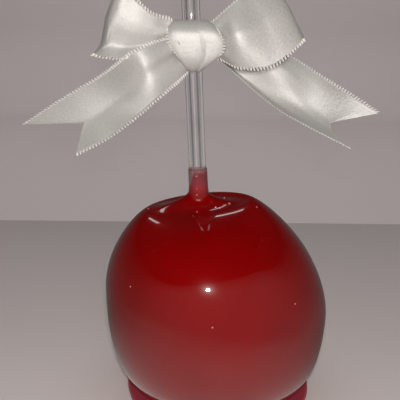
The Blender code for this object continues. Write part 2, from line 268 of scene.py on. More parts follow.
def apply_modifier(piece: bpy.types.Object, kind: str, **settings: object) -> None:
    """Add a modifier to a piece and apply it.

    Args:
        piece: Object that gets it.
        kind: Blender's name for the modifier's type.
        settings: Value of each of its properties.
    """
    pick(piece)
    added = piece.modifiers.new(kind.title(), kind)
    for key, value in settings.items():
        setattr(added, key, value)
    bpy.ops.object.modifier_apply(modifier=added.name)


def cubic(p0: Vector, p1: Vector, p2: Vector, p3: Vector, t: float) -> Vector:
    """Return the point at share t of a cubic Bezier curve."""
    s = 1.0 - t
    return s * s * s * p0 + 3 * s * s * t * p1 + 3 * s * t * t * p2 + t * t * t * p3


# ================================================================ lathed forms
@dataclass(frozen=True)
class Ring:
    """One ring of a turned form, in millimetres.

    The slopes are the ring's rise for each millimetre towards +X and towards +Y.
    """

    centre: Vector
    radius_x: float
    radius_y: float
    slope_x: float = 0.0
    slope_y: float = 0.0


def raise_rings(name: str, rings: list[Ring], sides: int) -> bpy.types.Object:
    """Extrude one circle through a stack of rings, and fill both ends.

    Each new ring is moved to its centre, turned level, resized and tilted anew.

    Args:
        name: Name of the new object.
        rings: The stack, from its first ring to its last.
        sides: Count of points round a ring.

    Returns:
        A closed form with its faces outward.
    """
    deselect_all()
    bpy.ops.mesh.primitive_circle_add(vertices=sides, radius=1.0, location=(0, 0, 0), fill_type="NOTHING")
    made = bpy.context.object
    made.name = name
    bpy.ops.object.mode_set(mode="EDIT")
    bpy.ops.mesh.select_mode(type="EDGE")
    bpy.ops.mesh.select_all(action="SELECT")
    here, wide_x, wide_y, tilt_x, tilt_y = Vector(), 1.0, 1.0, 0.0, 0.0
    for number, ring in enumerate(rings):
        goal = ring.centre * MM
        if number:
            bpy.ops.mesh.extrude_edges_move(TRANSFORM_OT_translate={"value": goal - here})
        else:
            bpy.ops.transform.translate(value=goal - here)
        bpy.ops.transform.rotate(value=tilt_y, orient_axis="X", center_override=goal)
        bpy.ops.transform.rotate(value=-tilt_x, orient_axis="Y", center_override=goal)
        across = ring.radius_x * math.hypot(1.0, ring.slope_x) * MM
        deep = ring.radius_y * math.hypot(1.0, ring.slope_y) * MM
        bpy.ops.transform.resize(value=(across / wide_x, deep / wide_y, 1.0), center_override=goal)
        tilt_x, tilt_y = math.atan(ring.slope_x), math.atan(ring.slope_y)
        bpy.ops.transform.rotate(value=tilt_x, orient_axis="Y", center_override=goal)
        bpy.ops.transform.rotate(value=-tilt_y, orient_axis="X", center_override=goal)
        here, wide_x, wide_y = goal, across, deep
    bpy.ops.mesh.select_all(action="SELECT")
    bpy.ops.mesh.region_to_loop()
    bpy.ops.mesh.fill_holes(sides=0)
    bpy.ops.mesh.select_all(action="SELECT")
    bpy.ops.mesh.normals_make_consistent(inside=False)
    deselect_all()
    return made


# ================================================================ finishes
@dataclass(frozen=True)
class HardCandy:
    """Boiled sugar glass dyed red, poured hot over the fruit and set without stirring.

    It is a smooth clear glaze over a deep red body, so it mirrors the room sharply and
    shows almost no grain of its own.  The thin foot's paler colour is painted light: the
    table's light seen through the candy, painted into its colour towards the floor.
    Where the candy climbs the stick it thins to a film, and light passes through it and
    the rod.  Lengths are in millimetres.  The rod's middle starts at rod_start_x and
    leans by rod_lean, and the film's left limit lies off it by film_side_rise times the
    height plus film_side_start.
    """

    rod_lean: float
    rod_start_x: float
    name: str = "red_hard_candy"
    deep: str = "730203"
    bright: str = "880304"
    # Paler colour of the foot: painted light, the table's light seen through thin candy.
    foot: str = "A8404E"
    foot_top: float = 11.0
    film_low: str = "DC1218"
    film_high: str = "EE6E80"
    bare: str = "F6E9E9"
    film_clearness: float = 0.88
    film_side_rise: float = 0.367
    film_side_start: float = -33.3
    side_fade_out: float = 0.5
    side_fade_in: float = 0.6
    solid_below: float = 77.5
    clear_above: float = 86.0
    film_top: float = 88.0
    top_fade: float = 1.2
    cloud: float = 26.0
    cloud_detail: float = 2.0
    gloss_roughness: float = 0.025
    body_roughness: float = 0.22
    body_gloss: float = 0.05
    ior: float = 1.5

    def covered(self, tree: bpy.types.NodeTree, split: bpy.types.Node) -> Socket:
        """Return how far the film covers the rod, from 0 to 1: less at its top and its left rim.

        Args:
            tree: The material's node tree.
            split: Node that gives the place's X, Y and Z.

        Returns:
            The share's output.
        """
        beside = add_node(
            tree,
            "ShaderNodeMath",
            {"operation": "MULTIPLY_ADD", 1: -self.rod_lean - self.film_side_rise},
            {0: split.outputs["Z"], 2: split.outputs["X"]},
        )
        edge = self.rod_start_x + self.film_side_start
        fading = (edge - self.side_fade_out, edge + self.side_fade_in)
        within = ranged(tree, beside.outputs[0], *fading, soft=True)
        below_top = ranged(tree, split.outputs["Z"], self.film_top, self.film_top - self.top_fade)
        return product(tree, within, below_top)

    def make(self) -> bpy.types.Material:
        """Return the material."""
        made, tree = blank_material(self.name)
        place = add_node(tree, "ShaderNodeTexCoord").outputs["Object"]
        split = add_node(tree, "ShaderNodeSeparateXYZ", links={0: place})
        height = split.outputs["Z"]
        cloud = noise(tree, place, 1 / (self.cloud * MM), self.cloud_detail)
        body = mixed(tree, cloud, self.deep, self.bright)
        # Towards the floor the body blends to the foot's paler colour: painted light from the table below.
        poured = mixed(tree, ranged(tree, height, self.foot_top, 0.0, soft=True), body, self.foot)
        climbed = ranged(tree, height, self.solid_below, self.film_top)
        film = mixed(tree, climbed, self.film_low, self.film_high)
        rod_cover = mixed(tree, self.covered(tree, split), self.bare, film)
        thinning = ranged(
            tree, height, self.solid_below, self.clear_above, soft=True, top=self.film_clearness
        )
        tint = mixed(tree, thinning, poured, rod_cover)
        settings = {
            "Roughness": self.body_roughness,
            "IOR": self.ior,
            "Specular IOR Level": self.body_gloss,
            "Coat Weight": 1.0,
            "Coat Roughness": self.gloss_roughness,
            "Coat IOR": self.ior,
        }
        return shaded(made, settings, {"Base Color": tint, "Transmission Weight": thinning})


@dataclass(frozen=True)
class BlisterPaintedGlint:
    """Thin-skinned bubble of air in the candy, its pale colour a painted glint."""

    name: str = "blister_painted_glint"
    colour: str = "D9867E"
    roughness: float = 0.12
    gloss: float = 1.0
    ior: float = 1.5

    def make(self) -> bpy.types.Material:
        """Return the material."""
        made, _ = blank_material(self.name)
        settings = {
            "Base Color": linear(self.colour),
            "Roughness": self.roughness,
            "IOR": self.ior,
            "Specular IOR Level": self.gloss,
        }
        return shaded(made, settings)


@dataclass(frozen=True)
class ClearAcrylic:
    """Cast acrylic rod, polished by its extrusion: clear, hard and faintly cool."""

    name: str = "clear_acrylic"
    tint: str = "FBFBFC"
    roughness: float = 0.015
    ior: float = 1.49

    def make(self) -> bpy.types.Material:
        """Return the material."""
        made, _ = blank_material(self.name)
        settings = {
            "Base Color": linear(self.tint),
            "Roughness": self.roughness,
            "IOR": self.ior,
            "Transmission Weight": 1.0,
        }
        return shaded(made, settings)


@dataclass(frozen=True)
class Satin:
    """Double-faced polyester satin, warp threads floating along the ribbon.

    The floats lie along its length, so a highlight spreads across its width in a band.
    The UV map counts ribbon widths along and across.  Real floats are about 0.1 mm
    wide; they are drawn at thread_mm, which is as fine as shows.
    """

    name: str = "ivory_satin"
    light: str = "D4D2CE"
    shade: str = "908C89"
    width_mm: float = 25.0
    thread_mm: float = 0.42
    float_mm: float = 0.9
    grain_detail: float = 2.0
    grain_roughness: float = 0.7
    grain_depth_mm: float = 0.25
    grain_strength: float = 0.5
    gloss_roughness: float = 0.5
    gloss: float = 1.0
    ior: float = 1.9
    spread: float = 0.8
    spread_turn: float = 0.25
    sheen: float = 0.08
    sheen_roughness: float = 0.5

    def make(self) -> bpy.types.Material:
        """Return the material."""
        made, tree = blank_material(self.name)
        place = add_node(tree, "ShaderNodeUVMap", {"uv_map": "ribbon"})
        stretched = add_node(
            tree,
            "ShaderNodeMapping",
            {"Scale": (self.width_mm / self.float_mm, self.width_mm / self.thread_mm, 1.0)},
            {"Vector": place.outputs["UV"]},
        )
        grain = noise(tree, stretched.outputs["Vector"], 1.0, self.grain_detail, self.grain_roughness)
        relief = add_node(
            tree,
            "ShaderNodeBump",
            {"Strength": self.grain_strength, "Distance": self.grain_depth_mm * MM},
            {"Height": grain},
        )
        along = add_node(tree, "ShaderNodeTangent", {"direction_type": "UV_MAP", "uv_map": "ribbon"})
        settings = {
            "Roughness": self.gloss_roughness,
            "IOR": self.ior,
            "Specular IOR Level": self.gloss,
            "Anisotropic": self.spread,
            "Anisotropic Rotation": self.spread_turn,
            "Sheen Weight": self.sheen,
            "Sheen Roughness": self.sheen_roughness,
        }
        links = {
            "Base Color": mixed(tree, grain, self.shade, self.light),
            "Normal": relief.outputs["Normal"],
            "Tangent": along.outputs["Tangent"],
        }
        return shaded(made, settings, links)


@dataclass(frozen=True)
class PicotThread:
    """Twisted polyester thread of the looped selvedge: duller and paler than the satin."""

    name: str = "picot_thread"
    colour: str = "FFFEFA"
    dip: str = "EFECE4"
    ply_mm: float = 0.5
    ply_detail: float = 1.0
    roughness: float = 0.6
    sheen: float = 0.2
    sheen_roughness: float = 0.5

    def make(self) -> bpy.types.Material:
        """Return the material."""
        made, tree = blank_material(self.name)
        place = add_node(tree, "ShaderNodeTexCoord").outputs["Object"]
        ply = noise(tree, place, 1 / (self.ply_mm * MM), self.ply_detail)
        settings = {
            "Roughness": self.roughness,
            "Sheen Weight": self.sheen,
            "Sheen Roughness": self.sheen_roughness,
        }
        return shaded(made, settings, {"Base Color": mixed(tree, ply, self.dip, self.colour)})


@dataclass(frozen=True)
class StudioCard:
    """Matt painted card: a table that darkens in painted shade towards its far edge, and the wall behind.
    """

    name: str = "studio_card"
    colour: str = "DDD3D2"
    far_table_painted_shade: str = "B9B0AF"
    table_near_mm: float = -20.0
    table_edge_mm: float = 185.0
    roughness: float = 0.7
    gloss: float = 0.2

    def make(self) -> bpy.types.Material:
        """Return the material."""
        made, tree = blank_material(self.name)
        place = add_node(tree, "ShaderNodeTexCoord")
        distance = add_node(tree, "ShaderNodeSeparateXYZ", links={0: place.outputs["Object"]}).outputs["Y"]
        receding = ranged(tree, distance, self.table_near_mm, self.table_edge_mm)
        on_table = add_node(
            tree, "ShaderNodeMath", {"operation": "LESS_THAN", 1: self.table_edge_mm * MM}, {0: distance}
        )
        # Painted shade: the table darkens towards its far edge, as the light falls off.
        painted_falloff_shade = product(tree, receding, on_table.outputs[0])
        tone = mixed(tree, painted_falloff_shade, self.colour, self.far_table_painted_shade)
        settings = {"Roughness": self.roughness, "Specular IOR Level": self.gloss}
        return shaded(made, settings, {"Base Color": tone})


@dataclass(frozen=True)
class GlowingCard:
    """Card that gives its own even light, or takes each point's glow from its mesh."""

    name: str
    colour: str
    glow: float | None = None

    def make(self) -> bpy.types.Material:
        """Return the material."""
        made, tree = blank_material(self.name)
        settings, links = {"Color": linear(self.colour)}, {}
        if self.glow is None:
            strength = add_node(tree, "ShaderNodeAttribute", {"attribute_name": GLOW})
            links["Strength"] = strength.outputs["Fac"]
        else:
            settings["Strength"] = self.glow
        return shaded(made, settings, links, "ShaderNodeEmission")


# ================================================================ the stick
@dataclass
class ClearStick:
    """Round 6 x 150 mm rod, pushed into the fruit three degrees off upright."""

    radius: float = 3.0
    length: float = 150.0
    start_z: float = 29.6
    lean: float = -0.0524
    x_at_crest: float = -8.4
    crest_level: float = 75.0
    edge_round: float = 0.5
    edge_segments: int = 4
    edge_angle: float = 60.0
    smooth_angle: float = 40.0
    sides: int = 96

    def x(self, z: float) -> float:
        """Return X of the rod's axis at a height."""
        return self.x_at_crest + self.lean * (z - self.crest_level)

    def point(self, z: float) -> Vector:
        """Return the point of the rod's axis at a height."""
        return Vector((self.x(z), 0.0, z))

    @property
    def axis(self) -> Vector:
        """Return the rod's direction."""
        return Vector((self.lean, 0.0, 1.0)).normalized()

    def ring(self, z: float, radius: float) -> Ring:
        """Return a ring square to the rod at a height."""
        return Ring(self.point(z), radius, radius, -self.lean)

    def build(self) -> bpy.types.Object:
        """Return the dressed rod, its two ends rounded over."""
        middle = self.point(self.start_z) + self.axis * self.length / 2
        deselect_all()
        bpy.ops.mesh.primitive_cylinder_add(
            vertices=self.sides,
            radius=self.radius * MM,
            depth=self.length * MM,
            end_fill_type="NGON",
            location=middle * MM,
            rotation=UP.rotation_difference(self.axis).to_euler(),
        )
        rod = bpy.context.object
        rod.name = "acrylic_rod"
        bpy.ops.object.mode_set(mode="EDIT")
        bpy.ops.mesh.select_mode(type="EDGE")
        bpy.ops.mesh.select_all(action="DESELECT")
        bpy.ops.mesh.edges_select_sharp(sharpness=math.radians(self.edge_angle))
        bpy.ops.mesh.bevel(offset=self.edge_round * MM, segments=self.edge_segments, affect="EDGES")
        bpy.ops.object.mode_set(mode="OBJECT")
        settle(rod)
        smooth(rod, self.smooth_angle)
        rod.data.materials.append(ClearAcrylic().make())
        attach(rod, "root")
        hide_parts("clear_stick")
        LOG.info("rod: %d faces", len(rod.data.polygons))
        return rod


# ================================================================ the fruit
@dataclass
class CandiedFruit:
    """Apple under red candy, its pooled foot, and the film that climbs the stick.

    The form runs through three main rings: the hidden seat in the foot, the widest
    ring and the crest round the dimple.  Each is set by its right, left and front.
    """

    stick: ClearStick
    middle_x: float = -1.5
    widest_radius: float = 41.4
    widest_z: float = 37.6
    widest_tilt: float = -5.2
    widest_front_rise: float = 4.0
    crest_radius_x: float = 18.7
    crest_radius_front: float = 9.5
    crest_radius_back: float = 12.5
    crest_z: float = 74.2
    crest_tilt: float = 2.2
    seat_radius: float = 15.1
    seat_z: float = 2.6
    shoulder_hold: float = 0.48
    shoulder_hold_tilt: float = 0.10
    shoulder_hold_front: float = 0.15
    crest_hold: float = 0.31
    crest_hold_tilt: float = -0.17
    crest_hold_front: float = 0.31
    belly_hold: float = 0.70
    seat_hold: float = 0.84
    belly_share: float = 0.71
    dimple_level: float = 74.7
    dimple_tilt: float = 0.35
    dimple_sag: float = 1.3
    dimple_sag_front: float = -0.9
    dimple_run: float = 6.8
    dimple_run_share: float = 0.6
    dimple_pull: float = 2.2
    dimple_flare: float = 0.1
    collar_root_z: float = 79.4
    collar_root_radius: float = 3.5
    collar: tuple = ((80.4, 3.34), (81.8, 3.26), (83.6, 3.2), (85.8, 3.14), (87.6, 3.09), (87.9, 3.05))
    film_gap: float = 0.02
    film_lip: float = 0.05
    bore_floor: float = 0.3
    foot_radius: float = 35.7
    foot_top_radius: float = 31.0
    foot_thickness: float = 2.5
    foot_edge: float = 1.2
    foot_inset: float = 0.3
    foot_level: float = 0.3
    neck_fillet: float = 2.4
    neck_spread: float = 1.6
    sides: int = 176
    belly_rows: int = 40
    shoulder_rows: int = 48
    dimple_rows: int = 34
    neck_rows: int = 14
    edge_rows: int = 8
    unevenness: float = 0.9
    unevenness_run: float = 34.0
    smooth_angle: float = 50.0
    blister_segments: int = 20
    blister_rings: int = 12
    # Bubbles in the candy; their pale colour is painted glints of the flash.
    blisters: tuple = (
        ((-31.0, -27.0, 54.5), 0.27),
        ((23.5, -30.5, 50.5), 0.27),
        ((-4.0, -41.0, 47.5), 0.3),
        ((-27.0, 1.5, 72.0), 0.25),
        ((12.0, -6.0, 75.5), 0.28),
        ((1.0, 4.0, 75.5), 0.28),
        ((2.5, -3.0, 76.0), 0.4),
        ((0.5, -4.5, 76.0), 0.28),
        ((-2.5, -6.0, 75.5), 0.35),
        ((-1.0, -7.0, 75.5), 0.25),
        ((-9.4, -3.3, 86.0), 0.35),
        ((-9.2, -3.4, 81.5), 0.2),
        ((-9.2, -3.6, 79.2), 0.3),
        ((-9.1, -3.9, 77.4), 0.3),
        ((-9.1, -8.3, 74.4), 0.25),
    )

    def section(self, side: int, front: int) -> list[Vector]:
        """Return one side's outline, from the foot's underside to the film's root.

        Args:
            side: 1 for the right, -1 for the left, else 0.
            front: 1 for the front, -1 for the back, else 0.

        Returns:
            Points as run outwards from the form's upright middle line, 0, height.
        """
        out = float(side or front)
        middle = self.middle_x if side else 0.0
        widest_z = self.widest_z + self.widest_tilt * side + self.widest_front_rise * front
        widest = Vector((middle + out * self.widest_radius, 0, widest_z))
        seat = Vector((middle + out * self.seat_radius, 0, self.seat_z))
        crest_z = self.crest_z + self.crest_tilt * side
        crest_middle = self.stick.x(crest_z) if side else 0.0
        crest_radii = {1: self.crest_radius_front, -1: self.crest_radius_back}
        crest_radius = crest_radii.get(front, self.crest_radius_x)
        crest = Vector((crest_middle + out * crest_radius, 0, crest_z))

        drop = Vector((0, 0, widest_z - self.seat_z))
        under = Vector((widest.x, 0, self.seat_z))
        belly = [
            cubic(widest, widest - drop * self.belly_hold, seat.lerp(under, self.seat_hold), seat, t)
            for t in (self.belly_share * k / self.belly_rows for k in range(self.belly_rows + 1))
        ]
        falling = (belly[-1] - belly[-2]).normalized()
        foot_top = Vector((out * self.foot_top_radius, 0, self.foot_thickness))
        inward = Vector((-out, 0, 0))
        neck = [
            cubic(
                belly[-1],
                belly[-1] + falling * self.neck_fillet,
                foot_top + inward * self.neck_fillet * self.neck_spread,
                foot_top,
                k / self.neck_rows,
            )
            for k in range(1, self.neck_rows + 1)
        ]
        edge_z = self.foot_thickness - self.foot_edge
        edge_middle = Vector((out * (self.foot_radius - self.foot_edge), 0, edge_z))
        edge = [
            edge_middle + self.foot_edge * Vector((out * math.sin(turn), 0, math.cos(turn)))
            for turn in (math.radians(90) * k / self.edge_rows for k in range(self.edge_rows + 1))
        ]
        rim = Vector((out * (self.foot_radius - self.foot_inset), 0, 0))

        rise = Vector((0, 0, crest_z - widest_z))
        in_front = max(front, 0)
        hold_up = self.shoulder_hold + self.shoulder_hold_tilt * side + self.shoulder_hold_front * in_front
        hold_share = self.crest_hold + self.crest_hold_tilt * side + self.crest_hold_front * in_front
        hold_out = hold_share * abs(widest.x - crest.x)
        dip = crest + inward * min(self.dimple_run, crest_radius * self.dimple_run_share)
        dip.z = self.dimple_level + self.dimple_tilt * side - self.dimple_sag * abs(front)
        dip.z -= self.dimple_sag_front * front
        over = crest - (dip - crest).normalized() * hold_out
        shoulder = [
            cubic(widest, widest + rise * hold_up, over, crest, k / self.shoulder_rows)
            for k in range(1, self.shoulder_rows + 1)
        ]
        root_middle = self.stick.x(self.collar_root_z) if side else 0.0
        root = Vector((root_middle + out * self.collar_root_radius, 0, self.collar_root_z))
        drawn = Vector((root.x + out * self.dimple_flare, 0, self.collar_root_z - self.dimple_pull))
        dimple = [
            cubic(crest, dip, drawn, root, k / self.dimple_rows)
            for k in range(1, self.dimple_rows + 1)
        ]
        return [rim, *reversed(edge), *reversed(neck), *reversed(belly), *shoulder, *dimple]

    def rings(self) -> list[Ring]:
        """Return the whole form's rings, from the foot's underside to the blind bore."""
        found = []
        sides = (self.section(1, 0), self.section(-1, 0), self.section(0, 1), self.section(0, -1))
        for right, left, front, back in zip(*sides):
            across, deep = (right.x - left.x) / 2, (front.x - back.x) / 2
            height = (right.z + left.z + front.z + back.z) / 4
            centre = Vector(((right.x + left.x) / 2, -(front.x + back.x) / 2, height))
            slope_x, slope_y = (right.z - left.z) / (2 * across), (back.z - front.z) / (2 * deep)
            found.append(Ring(centre, across, deep, slope_x, slope_y))
        found.extend(self.stick.ring(z, radius) for z, radius in self.collar)
        bore = self.stick.radius + self.film_gap
        found.append(self.stick.ring(self.collar[-1][0] + self.film_lip, bore))
        found.append(self.stick.ring(self.stick.start_z - self.bore_floor, bore))
        return found

    def uneven(self, coat: bpy.types.Object) -> None:
        """Give the poured candy its slow waves, and keep its underside flat."""
        waves = bpy.data.textures.new("candy_waves", "CLOUDS")
        waves.noise_scale = self.unevenness_run * MM
        waves.noise_depth = 1
        apply_modifier(
            coat,
            "DISPLACE",
            texture=waves,
            texture_coords="LOCAL",
            strength=self.unevenness * MM,
            mid_level=0.5,
        )
        pick(coat)
        edit_where(coat.data.vertices, lambda vertex: vertex.co.z < self.foot_level * MM)
        bpy.ops.transform.resize(value=(1, 1, 0), center_override=(0, 0, 0))
        bpy.ops.object.mode_set(mode="OBJECT")

    def build_coat(self) -> bpy.types.Object:
        """Return the coated fruit with its foot."""
        coat = raise_rings("candy_coat", self.rings(), self.sides)
        self.uneven(coat)
        smooth(coat, self.smooth_angle)
        coat.data.materials.append(HardCandy(self.stick.lean, self.stick.x(0.0)).make())
        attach(coat, "root")
        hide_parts("candied_fruit")
        LOG.info("coat: %d faces", len(coat.data.polygons))
        return coat

    def build_blisters(self, coat: bpy.types.Object) -> bpy.types.Object:
        """Return the tiny bubbles that stand half out of the set candy, pale with painted glints."""
        deselect_all()
        made = []
        for place, radius in self.blisters:
            _, spot, _, _ = coat.closest_point_on_mesh(Vector(place) * MM)
            bpy.ops.mesh.primitive_uv_sphere_add(
                segments=self.blister_segments,
                ring_count=self.blister_rings,
                radius=radius * MM,
                location=spot,
            )
            made.append(bpy.context.object)
        deselect_all()
        for each in made:
            each.select_set(True)
        bpy.context.view_layer.objects.active = made[0]
        bpy.ops.object.join()
        painted_glint_beads = bpy.context.object
        painted_glint_beads.name = "candy_blisters_painted_glints"
        settle(painted_glint_beads)
        bpy.ops.object.shade_smooth()
        # Pale colour: painted glints.
        painted_glint_beads.data.materials.append(BlisterPaintedGlint().make())
        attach(painted_glint_beads, "root")
        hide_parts("candied_fruit")
        LOG.info("blisters: %d faces", len(painted_glint_beads.data.polygons))
        return painted_glint_beads

    def build(self) -> list[bpy.types.Object]:
        """Return every piece of the fruit."""
        coat = self.build_coat()
        return [coat, self.build_blisters(coat)]


# ================================================================ the ribbon
class RibbonEnd(Enum):
    """How a stretch of ribbon ends away from the knot."""

    LOOPED = "looped"
    SWALLOW_TAIL = "swallow tail"


@dataclass(frozen=True)
class Stretch:
    """One stretch of ribbon between two edge runs, in millimetres.

    Each row of folds gives the cloth's height over the straight line between the two
    edges, in even steps from the upper edge to the lower one.
    """

    upper: tuple
    lower: tuple
    folds: tuple
    end: RibbonEnd


@dataclass
class Cloth:
    """Points of a finished stretch: rows along it, columns across it."""

    points: np.ndarray
    normals: np.ndarray
    along: np.ndarray
    across: np.ndarray

    @classmethod
    def through(cls, points: np.ndarray) -> "Cloth":
        """Return the cloth of a grid of points, with its directions at each."""
        along, across = np.gradient(points, axis=0), np.gradient(points, axis=1)
        normals = np.cross(along, across)
        for each in (along, across, normals):
            each /= np.linalg.norm(each, axis=2, keepdims=True)
        return cls(points, normals, along, across)

    def grid(self, first: int) -> list[tuple]:
        """Return the faces between its points, counted from a first vertex number."""
        rows, columns = self.points.shape[:2]
        corners = (first + i * columns + j for i in range(rows - 1) for j in range(columns - 1))
        return [(a, a + 1, a + columns + 1, a + columns) for a in corners]


def travelled(line: np.ndarray) -> np.ndarray:
    """Return how far along a line of points each of them lies."""
    return np.concatenate([[0], np.cumsum(np.linalg.norm(np.diff(line, axis=0), axis=1))])


def run_point(points: np.ndarray, share: float) -> np.ndarray:
    """Return the point at a share of a Catmull-Rom run.

    Args:
        points: Rows of numbers that the run passes through.
        share: Place along it, from 0 to 1.

    Returns:
        One row of numbers.
    """
    spans = len(points) - 1
    place = min(max(share, 0.0) * spans, spans - 1e-9)
    k = int(place)
    t = place - k
    p1, p2 = points[k], points[k + 1]
    p0 = points[k - 1] if k else 2 * p1 - p2
    p3 = points[k + 2] if k + 2 <= spans else 2 * p2 - p1
    square, cube = 2 * p0 - 5 * p1 + 4 * p2 - p3, 3 * p1 - p0 - 3 * p2 + p3
    return 0.5 * (2 * p1 + (p2 - p0) * t + square * t**2 + cube * t**3)


@dataclass(frozen=True)
class KnotWrap:
    """Turn of ribbon round the knot, drawn in at both sides of its foot and at its top right.

    Levels run from -1 under the knot to 1 over it.  Each of left_foot, right_foot and
    right_top is how far a selvedge is drawn in for each unit of level, and the level
    from which it is.  A gather is a ripple across the cloth: its depth as a share of
    the knot's half size, its pace in radians and its start.
    """

    middle: tuple = (-10.4, -8.2, 130.9)
    half_depth: float = 6.6
    half_height: float = 7.9
    roundness: float = 2 / 3.8
    left_x: float = -8.4
    left_foot: tuple = (4.9, 0.2)
    right_x: float = 9.0
    right_foot: tuple = (8.5, -0.25)
    right_top: tuple = (4.2, 0.3)
    draw_softness: float = 0.03
    crease_depth: float = 0.12
    crease_place: float = 0.62
    crease_width: float = 0.03
    crease_middle: float = 0.6
    crease_fall: float = 0.4
    foot_gather: tuple = (0.02, 19.0, 1.0)
    top_gather: tuple = (0.012, 11.0, 0.0)
    edge_tuck: float = 0.16
    tuck_power: int = 6
    rows: int = 120
    columns: int = 41

    def drawn(self, draw: tuple, beyond: float) -> float:
        """Work out how far a selvedge is drawn in.

        Args:
            draw: Its amount for each unit of level, and the level from which it counts.
            beyond: How far the present level lies beyond that one.

        Returns:
            The distance in millimetres, which starts softly.
        """
        return draw[0] * (beyond + math.sqrt(beyond * beyond + self.draw_softness)) / 2

    def edges(self, level: float) -> tuple[float, float]:
        """Return X of the two selvedges at a level, from the knot's middle."""
        left = self.left_x + self.drawn(self.left_foot, self.left_foot[1] - level)
        right = self.right_x - self.drawn(self.right_foot, self.right_foot[1] - level)
        return left, right - self.drawn(self.right_top, level - self.right_top[1])

    def tuck(self, across: float, front: float, level: float) -> float:
        """Return how far out the cloth lies, as a share of the knot's half size.

        Args:
            across: Place from the left selvedge, 0, to the right one, 1.
            front: 1 before the knot, -1 behind it.
            level: -1 under the knot, 1 over it.

        Returns:
            The share: less near the selvedges and along the crease, and rippled.
        """
        fold = math.exp(-(((across - self.crease_place) / self.crease_width) ** 2))
        crease = self.crease_depth * fold * max(front, 0) * (self.crease_middle - self.crease_fall * level)
        ripples = (
            depth * math.sin(across * pace + start) * max(amount, 0)
            for (depth, pace, start), amount in ((self.foot_gather, -level), (self.top_gather, level))
        )
        return 1.0 - self.edge_tuck * abs(2 * across - 1) ** self.tuck_power - crease + sum(ripples)

    def cloth(self) -> Cloth:
        """Return the turn's cloth."""
        points = []
        for k in range(self.rows + 1):
            turn = 2 * math.pi * k / self.rows
            front, top = math.cos(turn), math.sin(turn)
            y = -self.half_depth * math.copysign(abs(front) ** self.roundness, front)
            level = math.copysign(abs(top) ** self.roundness, top)
            left, right = self.edges(level)
            row = []
            for across in np.linspace(0, 1, self.columns):
                tuck = self.tuck(across, front, level)
                out = (left + (right - left) * across, y * tuck, self.half_height * level * tuck)
                row.append(np.array(self.middle) + np.array(out))
            points.append(row)
        return Cloth.through(np.array(points))


